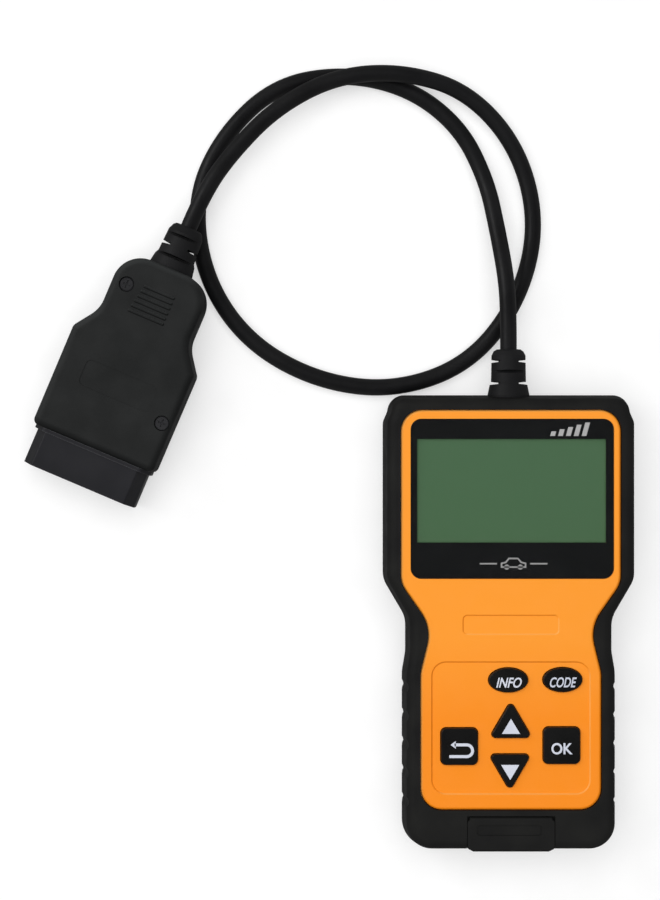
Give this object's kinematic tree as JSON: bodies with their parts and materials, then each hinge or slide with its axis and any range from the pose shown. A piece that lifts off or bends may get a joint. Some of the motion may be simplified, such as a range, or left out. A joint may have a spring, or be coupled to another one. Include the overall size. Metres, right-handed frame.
{
  "type": "obd code reader",
  "caption": "Handheld vehicle fault-code reader with a screen, a keypad in a sunken field, a rubber boot with a port cover, and a fixed lead ending in a D-shaped diagnostic plug.",
  "frame": {"origin": "centre of the reader's footprint, on the surface it rests on; the lead and its plug, which lie beyond its upper end, are not counted", "axes": "+Z out of the screen, +Y along the reader towards the lead, +X to the right of someone reading the screen"},
  "size_m": [0.2008, 0.2594, 0.0254],
  "materials": {
    "boot_rubber": "soft-touch moulded rubber, fine matt grain",
    "shell_black": "textured black ABS",
    "face_orange": "satin orange ABS",
    "window_clear": "clear hard-coated acrylic",
    "mask_black": "black print behind the window",
    "lcd_green": "unlit green-grey liquid crystal",
    "backlight_white": "white light guide",
    "tinned_metal": "tin plate",
    "board_green": "green solder mask",
    "chip_black": "moulded epoxy",
    "can_metal": "drawn can",
    "key_black": "semi-gloss black key caps",
    "silicone_grey": "translucent grey silicone",
    "screw_black": "black zinc",
    "label_grey": "matt polyester label, blank",
    "cable_jacket": "satin black PVC",
    "plug_plastic": "fine-textured black ABS",
    "contact_plated": "gold-flashed brass",
    "wire_insulation": "coloured PVC cores",
    "header_white": "natural nylon"
  },
  "bodies": {
    "reader": {"rubber_boot": "boot_rubber", "rear_shell": "shell_black", "front_shell": "face_orange", "display_window": "window_clear", "window_mask": "mask_black", "lcd_glass": "lcd_green", "lcd_backlight": "backlight_white", "lcd_pins": "tinned_metal", "main_board": "board_green", "microcontroller": "chip_black", "bus_transceiver": "chip_black", "memory_chip": "chip_black", "level_shifter": "chip_black", "voltage_regulator": "chip_black", "crystal": "can_metal", "buzzer": "chip_black", "cable_header": "header_white", "lead_wires": "wire_insulation", "usb_socket": "tinned_metal", "keypad_mat": "silicone_grey", "housing_screws": "screw_black", "board_screws": "screw_black", "rear_label": "label_grey", "reader_strain_relief": "cable_jacket", "capacitors": "can_metal", "plug_top_shell": "plug_plastic", "plug_bottom_shell": "plug_plastic", "connector_shroud": "plug_plastic", "pin_carrier": "shell_black", "pin_contacts": "contact_plated", "plug_wires": "wire_insulation", "plug_screws": "screw_black", "plug_strain_relief": "cable_jacket", "cable": "cable_jacket", "info_dome": "silicone_grey", "code_dome": "silicone_grey", "up_dome": "silicone_grey", "down_dome": "silicone_grey", "back_dome": "silicone_grey", "ok_dome": "silicone_grey"},
    "info_key": {"info_key": "key_black"},
    "code_key": {"code_key": "key_black"},
    "up_key": {"up_key": "key_black"},
    "down_key": {"down_key": "key_black"},
    "back_key": {"back_key": "key_black"},
    "ok_key": {"ok_key": "key_black"},
    "port_cover": {"port_cover": "boot_rubber"}
  },
  "joints": [
    {"name": "info_key_press", "type": "slide", "parent": "reader", "child": "info_key", "axis": [0, 0, -1], "range_m": [0, 0.0012], "stiffness_N_per_m": 1200, "springref_m": -0.0005, "deforming": ["info_dome"]},
    {"name": "code_key_press", "type": "slide", "parent": "reader", "child": "code_key", "axis": [0, 0, -1], "range_m": [0, 0.0012], "stiffness_N_per_m": 1200, "springref_m": -0.0005, "deforming": ["code_dome"]},
    {"name": "up_key_press", "type": "slide", "parent": "reader", "child": "up_key", "axis": [0, 0, -1], "range_m": [0, 0.0012], "stiffness_N_per_m": 1200, "springref_m": -0.0005, "deforming": ["up_dome"]},
    {"name": "down_key_press", "type": "slide", "parent": "reader", "child": "down_key", "axis": [0, 0, -1], "range_m": [0, 0.0012], "stiffness_N_per_m": 1200, "springref_m": -0.0005, "deforming": ["down_dome"]},
    {"name": "back_key_press", "type": "slide", "parent": "reader", "child": "back_key", "axis": [0, 0, -1], "range_m": [0, 0.0012], "stiffness_N_per_m": 1200, "springref_m": -0.0005, "deforming": ["back_dome"]},
    {"name": "ok_key_press", "type": "slide", "parent": "reader", "child": "ok_key", "axis": [0, 0, -1], "range_m": [0, 0.0012], "stiffness_N_per_m": 1200, "springref_m": -0.0005, "deforming": ["ok_dome"]},
    {"name": "port_cover_hinge", "type": "hinge", "parent": "reader", "child": "port_cover", "pos_m": [0, -0.0629, 0.02395], "axis": [-1, 0, 0], "range_deg": [0, 105]}
  ]
}
